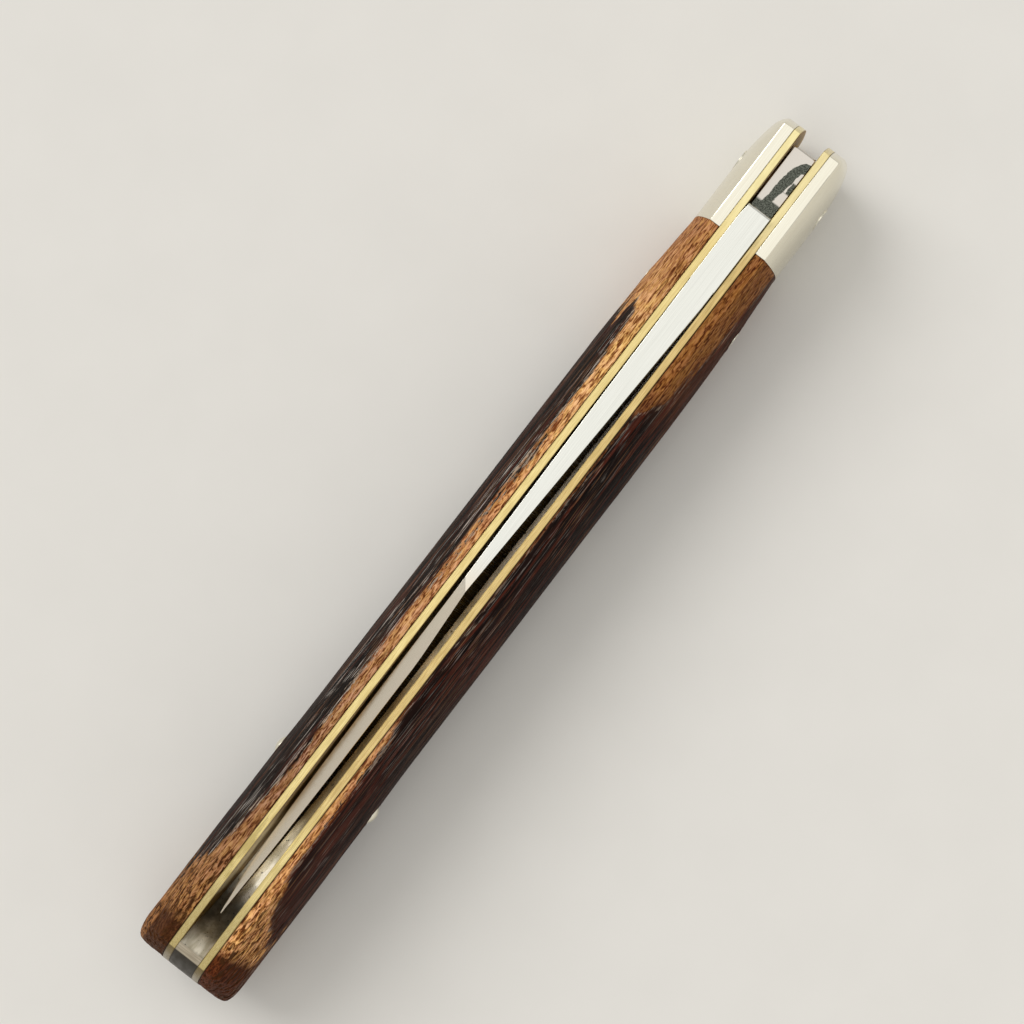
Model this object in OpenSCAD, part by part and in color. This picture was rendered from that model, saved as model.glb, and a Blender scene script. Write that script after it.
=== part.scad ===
// Folding pocket knife with one blade, shown closed and standing on its back.
// X runs along the knife towards the bolsters, Z points out of the blade well
// and Y runs across the handle. The origin is under the middle of the handle,
// on the plane that the back rests on. All sizes are in millimetres.

/* [Handle outline] */
// Length of the closed knife, butt to nose
closed_length = 112; // [104:1:124]
// Height from the back to the opening edge between the bolsters
head_height = 14.4; // [13.8:0.1:15.4]
// Height from the back to the opening edge at its highest, near the butt
tail_height = 16.8; // [16:0.1:19]
// How far the upper corner of the butt stands in from the butt's end
butt_lean = 2.85; // [1.5:0.05:3.5]
// How much the opening edge drops to that corner
butt_drop = 1.6; // [1:0.1:3]
// Length over which it drops
butt_round = 9.2; // [6:0.1:12]
// Length of the rounded lower corner of the butt
heel_round = 8; // [5:0.5:10]
// Height at which the butt reaches furthest back
butt_mid_z = 6.5; // [6:0.1:7.5]
// How far the upper corner of the nose stands in from the nose's end
nose_lean = 1.6; // [0.8:0.1:2]
// Length of the rounded lower corner of the nose
toe_round = 2.2; // [1:0.1:2.4]
// Height at which the nose reaches furthest forward
nose_mid_z = 6.5; // [5.5:0.1:8]
// Height of the small flat left at the very end of butt and nose
end_flat = 3.6; // [2:0.1:5]

/* [Handle thickness] */
// Width of the blade well, which is also the backspring's width
well_width = 3.05; // [2.6:0.05:3.6]
// Thickness of each brass liner
liner_thickness = 0.82; // [0.6:0.02:1.2]
// Thickness of a bolster where the wood meets it
bolster_thickness = 3.1; // [2.6:0.1:3.6]
// Thickness of a wooden scale along the middle of the handle
scale_thickness = 3.85; // [3.7:0.05:4.6]
// Extra thickness of a scale towards the butt
tail_swell = 0.2; // [0:0.05:0.5]
// Flat land along the opening edge and the back, beside each liner
land_width = 1.24; // [0.8:0.02:1.6]
// Length of a bolster
bolster_length = 14.5; // [13:0.5:18]
// Length over which a scale thins down to the bolster
taper_length = 22; // [10:1:40]
// Length over which a bolster rounds off to the nose
nose_round = 8; // [5:0.5:10]
// Thickness left on a bolster at the end of the nose
nose_thickness = 1.5; // [1.3:0.1:2.2]

/* [Pivot] */
// Distance from the pivot to the end of the nose
pivot_setback = 6.7; // [6.2:0.1:8]
// Diameter of the pivot pin
pivot_diameter = 2.6; // [2:0.1:3.2]
// Distance from the pivot to each flat of the square tang
tang_reach = 4.3; // [4:0.1:4.5]
// Distance from the pivot back to the shoulder above the tang
shoulder_setback = 4; // [3.9:0.1:4.3]
// Thickness of each bronze washer
washer_thickness = 0.15; // [0.1:0.01:0.2]
// Radial running clearance of the blade on the pivot pin
pivot_clearance = 0.03; // [0.01:0.01:0.08]
// Clearance of the blade on each side in the well
side_clearance = 0.05; // [0.03:0.01:0.1]
// Clearance left where the spring seats on the tang
seat_clearance = 0.03; // [0.02:0.01:0.08]

/* [Backspring] */
// Thickness of the spring under the tang
spring_tip_thickness = 3.5; // [3.2:0.1:3.8]
// Thickness of the free arm at its thinnest
arm_thickness = 2.8; // [2.2:0.1:3.1]
// Thickness of the spring along its pinned part
root_thickness = 4.1; // [3.6:0.1:4.4]
// Slope, in degrees, of the wall that closes the well at the butt
wall_slope = 78; // [74:1:80]
// Radius of the rounded lip at the top of that wall
lip_radius = 3; // [2:0.1:3.2]
// Radius of the hollow that sweeps from the wall's foot into the well
sweep_radius = 8; // [6:0.5:9]
// Width of the land that closes the well at the butt
butt_land = 0.95; // [0.6:0.05:1.6]
// Distance from the nose back to the middle pin
middle_pin_setback = 50; // [44:1:56]
// Distance from the butt to the rear pin
rear_pin_inset = 9.5; // [8.5:0.5:12]
// Height of the rear pin above the back
rear_pin_z = 3.1; // [2.8:0.1:3.6]
// Diameter of the spring pins and scale rivets
pin_diameter = 2.1; // [1.6:0.1:2.4]

/* [Blade] */
// Distance from the butt's land to the tip of the blade
tip_gap = 3.9; // [3.8:0.1:8]
// Height of the cutting edge above the backspring
edge_gap = 0.65; // [0.5:0.05:1.2]
// Length of the straight clip, along the knife
clip_length = 43.2; // [30:0.1:55]
// How far the tip lies below the spine
tip_drop = 5.8; // [4.5:0.1:6.5]
// Length of the curved belly behind the tip
belly_length = 30; // [20:1:45]
// Length of the ricasso, shoulder to the plunge of the grind
ricasso_length = 10; // [8:0.5:14]
// Width of the spine where the clip starts
kink_width = 0.98; // [0.7:0.02:1.2]
// Thickness of the blade below the swedge, where the clip starts
body_thickness = 1.95; // [1.6:0.05:2.3]
// Height of the swedge on the mark side, where the clip starts
swedge_height = 2.5; // [1.8:0.1:3]
// Thickness left at the cutting edge
edge_thickness = 0.24; // [0.15:0.01:0.4]
// Length over which the blade's +Y side is eased off to the shoulder
shoulder_ease = 2.5; // [1.5:0.1:4]
// Depth of that easing at the shoulder
shoulder_ease_depth = 0.35; // [0.2:0.05:0.5]
// Length of the nail nick
nick_length = 12; // [8:0.5:16]
// Depth of the nail nick
nick_depth = 0.45; // [0.3:0.05:0.6]

/* [Rivets] */
// Distance from the butt to the rear rivet of each scale
rear_rivet_inset = 25.7; // [20:0.5:32]
// How far the domed heads of the rear rivets stand out
dome_height = 0.4; // [0.2:0.05:0.6]
// Distance from the bolster to the front rivet of each scale
front_rivet_setback = 8; // [6:0.5:12]
// How far the other pins stand out, dressed nearly flush
flush_height = 0.05; // [0.03:0.01:0.15]
// Diameter of the blind pins that hold each bolster on its liner
bolster_pin_diameter = 1.6; // [1.2:0.1:1.8]
// How deep the blind pins reach into a bolster
bolster_pin_depth = 1.5; // [1:0.1:1.8]

/* [Hidden] */
$fn = 64;

// Clearance of a pin in the hole that it is peened into
pin_fit = 0.01;
// Fineness of the lofted surfaces
arc_steps = 20;
end_steps = 8;
round_steps = 10;
body_steps = 34;
// Fineness of the smaller curves
sweep_steps = 16;
dome_steps = 6;
corner_steps = 4;
choil_steps = 8;
ease_steps = 8;

// Details that follow from how such a knife is made
taper_power = 2.2;       // how late a scale starts to thin down to the bolster
butt_thinning = 0.3;     // share of the bow that a scale loses at the very butt
lip_slope = 10;          // slope of the lip, in degrees, where the land ends
bolster_pin_edge = 2.2;  // metal between a blind pin and the edges of its bolster
spring_root = 4;         // full height kept on each side of the middle pin
seat_run = 3;            // flat seat of the spring behind the shoulder
tang_corner = 1;         // rounding of the tang's lower corner, which turns on the spring
tang_top_corner = 0.3;   // rounding of the tang's upper corner
shoulder_corner = 0.4;   // rounding of the shoulder
kick_setback = 1.8;      // from the shoulder back to the end of the kick
heel_setback = 1.5;      // from the plunge forward to the heel of the edge
choil_rise = 1.1;        // rise of the hollow between heel and kick
plunge_ramp = 1.8;       // length over which the grind starts
plunge_overlap = 0.5;    // how far the ground blade runs on into the ricasso
tip_height = 0.2;        // height of the blade at its tip
tip_half = 0.05;         // half thickness at the tip
tip_y = 0.25;            // the tip lies a little to the +Y side
kink_share = 0.73;       // share of the half blade left on the +Y side at the kink
belly_power = 2.2;       // roundness of the belly
left_power = 7;          // how late the +Y face turns in to the tip
right_power = 2.4;       // how late the -Y face does
kink_skew = 1.3;         // how much sooner the clip starts on the +Y side
clip_bulge = 0.12;       // how far the +Y face swells between the kink and the tip
clip_swedge = 0.5;       // width of the swedge along the clip, before it dies out
swedge_least = 0.15;     // least height of the swedge, as a share of the blade's
nick_place = 0.42;       // place of the nail nick between the clip and the plunge
nick_drop = 1.1;         // distance of the nail nick below the swedge
nick_width = 1.3;
nick_tilt = 12;
washer_margin = 0.4;     // how far a washer stands in from the tang's flats

// Places along the knife, from the butt
joint_x = closed_length - bolster_length;
pivot_x = closed_length - pivot_setback;
shoulder_x = pivot_x - shoulder_setback;
tail_top_x = butt_lean + butt_round;
nose_corner_x = closed_length - nose_lean;
middle_pin_x = closed_length - middle_pin_setback;
front_rivet_x = joint_x - front_rivet_setback;

// Places across the knife, from its middle plane
well_half = well_width / 2;
liner_out = well_half + liner_thickness;
blade_half = well_half - side_clearance;
tang_half = blade_half - washer_thickness;

// Heights above the back
pivot_z = spring_tip_thickness + tang_reach;
spine_z = 2 * pivot_z;
edge_z = root_thickness + edge_gap;
middle_pin_z = root_thickness / 2;

// Arcs of the outline, from a chord and its rise
function arc_radius(chord, rise) = (chord * chord + rise * rise) / (2 * rise);
butt_corner_z = tail_height - butt_drop;
butt_radius = arc_radius(butt_corner_z - butt_mid_z, butt_lean);
butt_round_radius = arc_radius(butt_round, butt_drop);
nose_radius = arc_radius(head_height - nose_mid_z, nose_lean);

// 0 before the range, 1 after it and a smooth rise between
function clamp01(u) = min(1, max(0, u));
function ease(u) = (1 - cos(180 * clamp01(u))) / 2;
function mix(a, b, u) = a + (b - a) * clamp01(u);
// Rise of a quarter ellipse, from 0 at its start to 1 where it is upright
function quarter(u) = 1 - sqrt(max(0, 1 - clamp01(u) * clamp01(u)));

// How far the arcs start in, so that a small flat is left at the end
butt_start = flat_start(butt_radius);
nose_start = flat_start(nose_radius);
function flat_start(radius) = radius - sqrt(radius * radius - end_flat * end_flat / 4);

// The opening edge and the back, as heights at a distance from the butt
function rise_z(x) = mix(tail_height, head_height, ease((x - tail_top_x) / (joint_x - tail_top_x)));
function butt_top_z(x) =
    butt_mid_z + sqrt(pow(butt_radius, 2) - pow(butt_radius - x - butt_start, 2));
function butt_round_z(x) =
    tail_height - butt_round_radius + sqrt(pow(butt_round_radius, 2) - pow(tail_top_x - x, 2));
function nose_top_z(x) =
    nose_mid_z + sqrt(pow(nose_radius, 2) - pow(nose_radius - (closed_length - x) - nose_start, 2));
function opening_z(x) =
    x < butt_lean ? min(butt_top_z(x), butt_corner_z) :
    x < tail_top_x ? butt_round_z(x) :
    x < nose_corner_x ? rise_z(x) : min(nose_top_z(x), head_height);
function back_z(x) =
    x < heel_round ? butt_mid_z * quarter((heel_round - x) / (heel_round + butt_start)) :
    nose_mid_z * quarter((x - closed_length + toe_round) / (toe_round + nose_start));

// Distances from a to b, b left out, drawn together towards a when bunch is over 1
function steps(a, b, count, bunch = 1) = [for (i = [0:count - 1]) a + (b - a) * pow(i / count, bunch)];
function reversed(list) = [for (i = [len(list) - 1:-1:0]) list[i]];
butt_xs = concat(steps(0, butt_lean, end_steps, 2), steps(butt_lean, tail_top_x, round_steps));
nose_xs = reversed(concat(
    steps(closed_length, nose_corner_x, end_steps, 2),
    steps(nose_corner_x, closed_length - nose_round, end_steps, 1.5)
));
handle_xs = concat(butt_xs, steps(tail_top_x, closed_length - nose_round, body_steps), nose_xs);
scale_xs = concat(butt_xs, steps(tail_top_x, joint_x, body_steps), [joint_x]);
bolster_xs = concat([joint_x], steps(joint_x, closed_length - nose_round, 4), nose_xs);

// Thickness of a scale and of a bolster, outside the liner
function butt_thin(x) = (scale_thickness - land_width) * butt_thinning * quarter(1 - x / butt_lean);
function scale_t(x) =
    scale_thickness + tail_swell * (1 - ease((x - tail_top_x) / taper_length))
    - (scale_thickness - bolster_thickness) * pow(clamp01(1 - (joint_x - x) / taper_length), taper_power)
    - butt_thin(x);
function bolster_t(x) =
    bolster_thickness
    - (bolster_thickness - nose_thickness) * quarter(1 - (closed_length - x) / nose_round);

// One cross-section of a handle side: flat inside, a land at top and foot, bowed outside
function side_section(x, thickness) =
    let (
        top = opening_z(x),
        foot = back_z(x),
        middle = (top + foot) / 2,
        half = (top - foot) / 2,
        bow = thickness - land_width,
        radius = arc_radius(half, bow),
        sweep = asin(half / radius)
    )
    concat(
        [[x, liner_out, foot], [x, liner_out, top]],
        [for (i = [0:arc_steps])
            let (a = sweep * (1 - 2 * i / arc_steps))
            [x, liner_out + thickness - radius * (1 - cos(a)), middle + radius * sin(a)]]
    );

// Skin over a row of cross-sections that all have the same number of points
module loft(sections) {
    count = len(sections[0]);
    last = (len(sections) - 1) * count;
    points = [for (section = sections) for (p = section) p];
    sides = [for (i = [0:len(sections) - 2]) for (j = [0:count - 1])
        let (a = i * count + j, b = i * count + (j + 1) % count)
        each [[a, b, b + count], [a, b + count, a + count]]];
    start_cap = [for (j = [1:count - 2]) [0, j + 1, j]];
    end_cap = [for (j = [1:count - 2]) [last, last + j, last + j + 1]];
    polyhedron(points = points, faces = concat(sides, start_cap, end_cap));
}

// Moves a shape drawn from the butt to its place about the middle of the handle
module place() {
    translate([-closed_length / 2, 0, 0]) children();
}

// The +Y piece, or its mirror image on the -Y side
module on_side(left) {
    mirror([0, left ? 0 : 1, 0]) children();
}

// Round bar or hole across the knife, between two distances from the middle plane
module across(x, z, radius, from, to) {
    translate([x, from, z])
        rotate([-90, 0, 0])
            cylinder(h = to - from, r = radius);
}

// Flat shape drawn in X and Z, given a thickness across the knife
module plate(from, to) {
    translate([0, to, 0])
        rotate([90, 0, 0])
            linear_extrude(height = to - from) children();
}

// Holes for every pin that crosses one side of the handle
module side_holes() {
    reach = liner_out + 2 * scale_thickness;
    across(pivot_x, pivot_z, pivot_diameter / 2 + pin_fit, 0, reach);
    across(middle_pin_x, middle_pin_z, pin_diameter / 2 + pin_fit, 0, reach);
    across(rear_pin_inset, rear_pin_z, pin_diameter / 2 + pin_fit, 0, reach);
    across(rear_rivet_inset, rivet_z(rear_rivet_inset), pin_diameter / 2 + pin_fit, 0, reach);
    across(front_rivet_x, rivet_z(front_rivet_x), pin_diameter / 2 + pin_fit, 0, reach);
    bolster_pin_row(0, liner_out + bolster_pin_depth + pin_fit, pin_fit);
}

// Rivets sit halfway up the handle side
function rivet_z(x) = (opening_z(x) + back_z(x)) / 2;

// Thickness of a handle side at a height, which the bowed section gives
function side_t(x, z, thickness) =
    let (
        half = (opening_z(x) - back_z(x)) / 2,
        radius = arc_radius(half, thickness - land_width)
    )
    thickness - radius + sqrt(pow(radius, 2) - pow(z - rivet_z(x), 2));

// Two blind pins behind the pivot, one above the other
module bolster_pin_row(from, to, extra = 0) {
    inset = bolster_pin_edge + bolster_pin_diameter / 2;
    for (z = [inset, head_height - inset])
        across(joint_x + inset, z, bolster_pin_diameter / 2 + extra, from, to);
}

// Pin with a shallow domed end at +Y, and at -Y too when it goes right through
module domed_pin(x, z, radius, from, to, dome) {
    dome_radius = arc_radius(radius, dome);
    translate([x, 0, z])
        rotate([-90, 0, 0])
            rotate_extrude()
                polygon(concat(
                    [[0, from], [radius, from]],
                    [for (i = [0:dome_steps])
                        let (r = radius * (1 - i / dome_steps))
                        [r, to + sqrt(pow(dome_radius, 2) - r * r) - dome_radius + dome]]
                ));
}

// Whole handle outline, flat, in X and Z
module handle_outline() {
    polygon(concat(
        [for (x = handle_xs) [x, opening_z(x)]],
        [[closed_length, opening_z(closed_length)]],
        [[closed_length, back_z(closed_length)]],
        [for (x = reversed(handle_xs)) [x, back_z(x)]]
    ));
}

module liner() {
    difference() {
        plate(well_half, liner_out) handle_outline();
        side_holes();
    }
}

module scale_side() {
    difference() {
        loft([for (x = scale_xs) side_section(x, scale_t(x))]);
        side_holes();
    }
}

module bolster_side() {
    difference() {
        loft([for (x = bolster_xs) side_section(x, bolster_t(x))]);
        side_holes();
    }
}

// Inner surface of the backspring
land_x = butt_lean + butt_land;
lip_centre_x = land_x - lip_radius * sin(lip_slope);
lip_centre_z = opening_z(land_x) - lip_radius * cos(lip_slope);
lip_end_x = lip_centre_x + lip_radius * sin(wall_slope);
lip_end_z = lip_centre_z + lip_radius * cos(wall_slope);
sweep_z = root_thickness + sweep_radius;
wall_foot_x = lip_end_x + (lip_end_z - sweep_z + sweep_radius * cos(wall_slope)) / tan(wall_slope);
sweep_x = wall_foot_x + sweep_radius * sin(wall_slope);
spring_end_x = pivot_x + shoulder_setback - seat_clearance;
seat_start_x = shoulder_x - seat_run;
root_end_x = middle_pin_x + spring_root;
arm_x = (root_end_x + seat_start_x + spring_root) / 2;
function spring_z(x) =
    x < lip_end_x ? lip_centre_z + sqrt(pow(lip_radius, 2) - pow(x - lip_centre_x, 2)) :
    x < wall_foot_x ? lip_end_z - (x - lip_end_x) * tan(wall_slope) :
    x < sweep_x ? sweep_z - sqrt(pow(sweep_radius, 2) - pow(sweep_x - x, 2)) :
    x < arm_x ? mix(root_thickness, arm_thickness, ease((x - root_end_x) / (arm_x - root_end_x))) :
    mix(arm_thickness, spring_tip_thickness - seat_clearance, ease((x - arm_x) / (seat_start_x - arm_x)));

module backspring() {
    inner_xs = concat(
        steps(land_x, lip_end_x, round_steps),
        [lip_end_x],
        steps(wall_foot_x, sweep_x, sweep_steps, 1.3),
        steps(sweep_x, root_end_x, 4),
        steps(root_end_x, seat_start_x, 20),
        [seat_start_x, spring_end_x]
    );
    outer_xs = [for (x = handle_xs) if (x < spring_end_x) x];
    butt_top = [for (x = handle_xs) if (x < land_x) x];
    color("lightgray") place()
        difference() {
            plate(-well_half + pin_fit, well_half - pin_fit)
                polygon(concat(
                    [for (x = butt_top) [x, opening_z(x)]],
                    [for (x = inner_xs) [x, spring_z(x)]],
                    [[spring_end_x, 0]],
                    [for (x = reversed(outer_xs)) [x, back_z(x)]]
                ));
            across(middle_pin_x, middle_pin_z, pin_diameter / 2 + pin_fit, -well_width, well_width);
            across(rear_pin_inset, rear_pin_z, pin_diameter / 2 + pin_fit, -well_width, well_width);
        }
}

// Blade outline, closed, edge down
tip_x = land_x + tip_gap;
kink_x = tip_x + clip_length;
tip_z = spine_z - tip_drop;
plunge_x = shoulder_x - ricasso_length;
belly_x = tip_x + belly_length;
grind_x = plunge_x - plunge_ramp;
kick_x = shoulder_x - kick_setback;

function blade_top(x) = mix(tip_z, spine_z, (x - tip_x) / clip_length);
function left_top(x) = mix(tip_z, spine_z, (x - tip_x) / (clip_length + kink_skew));
function blade_edge(x) =
    edge_z + (tip_z - tip_height - edge_z) * pow(clamp01((belly_x - x) / belly_length), belly_power);

// The two faces at the foot of the swedge, and the spine above them
kink_left = blade_half * kink_share;
function clip_share(x) = clamp01((kink_x - x) / clip_length);
function left_y(x) =
    x > kink_x ? mix(kink_left, blade_half - side_clearance, (x - kink_x) / (grind_x - kink_x)) :
    mix(kink_left, tip_y + tip_half, pow(clip_share(x), left_power)) + clip_bulge * sin(180 * clip_share(x));
function right_y(x) =
    x > kink_x ?
        mix(kink_left - body_thickness, side_clearance - blade_half, (x - kink_x) / (grind_x - kink_x)) :
    mix(kink_left - body_thickness, tip_y - tip_half, pow(clip_share(x), right_power));
// The swedge is a flat facet that grows from the plunge to the clip
swedge_lean = (body_thickness - kink_width) / swedge_height;
function swedge_share(x) = clamp01((grind_x - x) / (grind_x - kink_x));
function spine_right_y(x) =
    x > kink_x ? right_y(x) + (body_thickness - kink_width) * swedge_share(x) :
    max(
        right_y(x) + clip_swedge * (1 - pow(clip_share(x), 2)),
        kink_left - kink_width - swedge_lean * (spine_z - blade_top(x))
    );
function swedge_foot(x) =
    let (
        gap = spine_right_y(x) - right_y(x),
        drop = x > kink_x ? swedge_height * swedge_share(x) : gap / swedge_lean
    )
    blade_top(x) - max(drop, swedge_least * (blade_top(x) - blade_edge(x)));

// Cross-section of the ground blade, round from the edge; ramp 1 is unground
function blade_section(x, ramp = 0) =
    let (
        top = blade_top(x),
        foot = swedge_foot(x),
        edge = blade_edge(x),
        full = blade_half - side_clearance,
        middle = (left_y(x) + right_y(x)) / 2
    )
    [
        [x, mix(middle - edge_thickness / 2, -full, ramp), edge],
        [x, mix(right_y(x), -full, ramp), foot],
        [x, mix(spine_right_y(x), -full, ramp), top],
        [x, mix(left_y(x), full, ramp), left_top(x)],
        [x, mix(left_y(x), full, ramp), foot],
        [x, mix(middle + edge_thickness / 2, full, ramp), edge]
    ];

// Quarter round for a corner, about a centre, from one angle to another
function corner(x, z, radius, from, to) =
    [for (i = [0:corner_steps])
        let (a = from + (to - from) * i / corner_steps)
        [x + radius * cos(a), z + radius * sin(a)]];

// Square tang with its three flats, the shoulder and the ricasso
module tang_outline() {
    bottom = pivot_z - tang_reach;
    top = pivot_z + tang_reach;
    end = pivot_x + tang_reach;
    heel_x = plunge_x + heel_setback;
    polygon(concat(
        [[kick_x, bottom]],
        corner(end - tang_corner, bottom + tang_corner, tang_corner, -90, 0),
        corner(end - tang_top_corner, top - tang_top_corner, tang_top_corner, 0, 90),
        [[shoulder_x, top]],
        corner(shoulder_x - shoulder_corner, spine_z - shoulder_corner, shoulder_corner, 0, 90),
        [[plunge_x, spine_z], [plunge_x, edge_z], [heel_x, edge_z]],
        [for (i = [0:choil_steps])
            let (u = i / choil_steps)
            [mix(heel_x, kick_x, u), edge_z + choil_rise * sin(180 * u) + (bottom - edge_z) * u]]
    ));
}

// The ricasso as seen from above, its +Y side eased off to the shoulder
module ricasso_plan() {
    polygon(concat(
        [[0, blade_half], [0, -blade_half], [shoulder_x, -blade_half]],
        [for (i = [0:ease_steps])
            let (u = sin(90 * (1 - i / ease_steps)))
            [shoulder_x - shoulder_ease * (1 - u), blade_half - shoulder_ease_depth * quarter(u)]]
    ));
}

module nail_nick() {
    nick_x = kink_x + (grind_x - kink_x) * nick_place;
    nick_z = spine_z - swedge_height * swedge_share(nick_x) - nick_drop;
    radius = arc_radius(nick_length / 2, nick_depth);
    translate([nick_x, right_y(nick_x) + nick_depth, nick_z])
        rotate([-nick_tilt, 0, 0])
            translate([0, -radius, 0])
                cylinder(h = nick_width, r = radius, center = true, $fn = 180);
}

module blade() {
    xs = concat(
        steps(tip_x, belly_x, 14, 1.2), steps(belly_x, kink_x, 8),
        [kink_x], steps(kink_x + kink_skew, grind_x, 10), [grind_x]
    );
    color("whitesmoke") place()
        difference() {
            union() {
                plate(-tang_half, tang_half) tang_outline();
                intersection() {
                    plate(-blade_half, blade_half) tang_outline();
                    linear_extrude(height = 2 * spine_z) ricasso_plan();
                }
                difference() {
                    loft(concat(
                        [for (x = xs) blade_section(x)],
                        [blade_section(plunge_x, 1), blade_section(plunge_x + plunge_overlap, 1)]
                    ));
                    nail_nick();
                }
            }
            across(pivot_x, pivot_z, pivot_diameter / 2 + pivot_clearance, -well_width, well_width);
        }
}

module washer() {
    radius = min(tang_reach, shoulder_setback) - washer_margin;
    difference() {
        across(pivot_x, pivot_z, radius, well_half - washer_thickness, well_half);
        across(pivot_x, pivot_z, pivot_diameter / 2 + pin_fit, 0, well_width);
    }
}

// A pin right through the handle, made of two halves that meet in the middle plane
module through_pin(x, z, radius, reach, dome) {
    for (left = [true, false])
        on_side(left) domed_pin(x, z, radius, 0, reach, dome);
}

module pivot_pin() {
    reach = liner_out + side_t(pivot_x, pivot_z, bolster_t(pivot_x));
    color("silver") place()
        through_pin(pivot_x, pivot_z, pivot_diameter / 2, reach, flush_height);
}

module spring_pin(x, z) {
    reach = liner_out + side_t(x, z, scale_t(x));
    color("silver") place()
        through_pin(x, z, pin_diameter / 2, reach, flush_height);
}

// Short rivet through one scale and its liner, flush inside the well
module scale_rivet(left, x, dome) {
    color("silver") place()
        on_side(left)
            domed_pin(x, rivet_z(x), pin_diameter / 2, well_half, liner_out + scale_t(x), dome);
}

module bolster_pins(left) {
    color("silver") place()
        on_side(left) bolster_pin_row(well_half, liner_out + bolster_pin_depth);
}

blade();
backspring();
color("goldenrod") place() on_side(true) liner();  // liner_left
color("goldenrod") place() on_side(false) liner();  // liner_right
color("silver") place() on_side(true) bolster_side();  // bolster_left
color("silver") place() on_side(false) bolster_side();  // bolster_right
color("saddlebrown") place() on_side(true) scale_side();  // scale_left
color("saddlebrown") place() on_side(false) scale_side();  // scale_right
pivot_pin();
color("peru") place() on_side(true) washer();  // washer_left
color("peru") place() on_side(false) washer();  // washer_right
spring_pin(middle_pin_x, middle_pin_z);  // spring_pin_middle
spring_pin(rear_pin_inset, rear_pin_z);  // spring_pin_rear
scale_rivet(true, rear_rivet_inset, dome_height);  // scale_rivet_rear_left
scale_rivet(false, rear_rivet_inset, dome_height);  // scale_rivet_rear_right
scale_rivet(true, front_rivet_x, flush_height);  // scale_rivet_front_left
scale_rivet(false, front_rivet_x, flush_height);  // scale_rivet_front_right
bolster_pins(true);  // bolster_pins_left
bolster_pins(false);  // bolster_pins_right
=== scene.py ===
from functools import partial
import math

import bpy
from mathutils import Matrix, Vector, noise


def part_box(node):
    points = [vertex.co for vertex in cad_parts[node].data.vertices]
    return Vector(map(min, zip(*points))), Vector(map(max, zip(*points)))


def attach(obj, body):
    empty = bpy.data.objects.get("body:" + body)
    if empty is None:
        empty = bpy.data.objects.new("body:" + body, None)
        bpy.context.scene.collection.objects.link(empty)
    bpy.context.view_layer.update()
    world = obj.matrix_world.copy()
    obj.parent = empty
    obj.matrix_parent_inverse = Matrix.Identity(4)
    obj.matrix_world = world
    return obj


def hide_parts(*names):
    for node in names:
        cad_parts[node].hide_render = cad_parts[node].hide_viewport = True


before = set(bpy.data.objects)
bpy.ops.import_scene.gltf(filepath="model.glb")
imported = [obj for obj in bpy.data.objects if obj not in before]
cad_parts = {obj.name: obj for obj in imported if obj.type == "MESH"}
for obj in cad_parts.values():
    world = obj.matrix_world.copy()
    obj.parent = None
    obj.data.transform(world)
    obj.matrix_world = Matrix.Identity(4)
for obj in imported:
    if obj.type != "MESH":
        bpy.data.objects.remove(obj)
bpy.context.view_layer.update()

# Folding pocket knife, closed, standing on its back with the blade well up.
# X runs along the knife towards the bolsters, Z points out of the well.

MM = 0.001

# The photograph's view, straight down into the well
VIEW_ROLL = math.radians(52.49)
VIEW_TILT = math.radians(3.17)
VIEW_DISTANCE = 300 * MM
VIEW_AIM = Vector((4.49, 1.39, 14.4)) * MM
VIEW_NEAREST = 10 * MM
VIEW_FARTHEST = 20000 * MM
PICTURE_WIDTH = 1024
PIXELS_PER_MM = 9.53
SENSOR = 36

# Light: the room's plain strength, and each lamp's place and size in metres and how bright it is
ROOM_COLOUR = "#fbfaf7"
ROOM_STRENGTH = 0.62
OVERHEAD = dict(place=(0.4, 0, 1.5), aim=(0.4, 0, 0), size=(1.4, 1.4), brightness=0.51)
ABOVE_CLIP = dict(place=(-0.8, 0, 1.5), aim=(-0.8, 0, 0), size=(0.9, 1.4), brightness=0.03)
SIDE_PLACE = Vector((0.1, 0.75, 0.75))
SIDE_STRENGTH = 1.35
SIDE_WIDTH = math.radians(38)
FLOOR_SIZE = 30

# Places measured in the frame
WELL_HALF = -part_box("liner_right")[1].y
LINER_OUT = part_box("liner_left")[1].y
JOINT_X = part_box("bolster_left")[0].x
BUTT_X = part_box("scale_left")[0].x
TIP_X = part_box("blade")[0].x
BLADE_END_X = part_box("blade")[1].x
BLADE_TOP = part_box("blade")[1].z

# Places on the blade: its shoulder, and the kink where the clip starts
SHOULDER_X = 45.3 * MM
KINK_X = -5.1 * MM

# Settings that many shader nodes share
TIMES = {"operation": "MULTIPLY"}
LESS = {"operation": "SUBTRACT"}
LARGER = {"operation": "MAXIMUM"}
SMOOTH = {"interpolation_type": "SMOOTHSTEP"}
COLOURS = {"data_type": "RGBA"}
TINT = {"data_type": "RGBA", "blend_type": "MULTIPLY"}


def linear(code):
    """A colour written as sRGB hex, as the shader's linear values."""
    parts = [int(code[i:i + 2], 16) / 255 for i in (1, 3, 5)]
    return [c / 12.92 if c <= 0.04045 else ((c + 0.055) / 1.055) ** 2.4 for c in parts] + [1.0]


def plug(socket, value):
    """Gives an input its link, its number or its colour."""
    if isinstance(value, bpy.types.NodeSocket):
        socket.id_data.links.new(value, socket)
    else:
        socket.default_value = linear(value) if isinstance(value, str) else value


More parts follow.
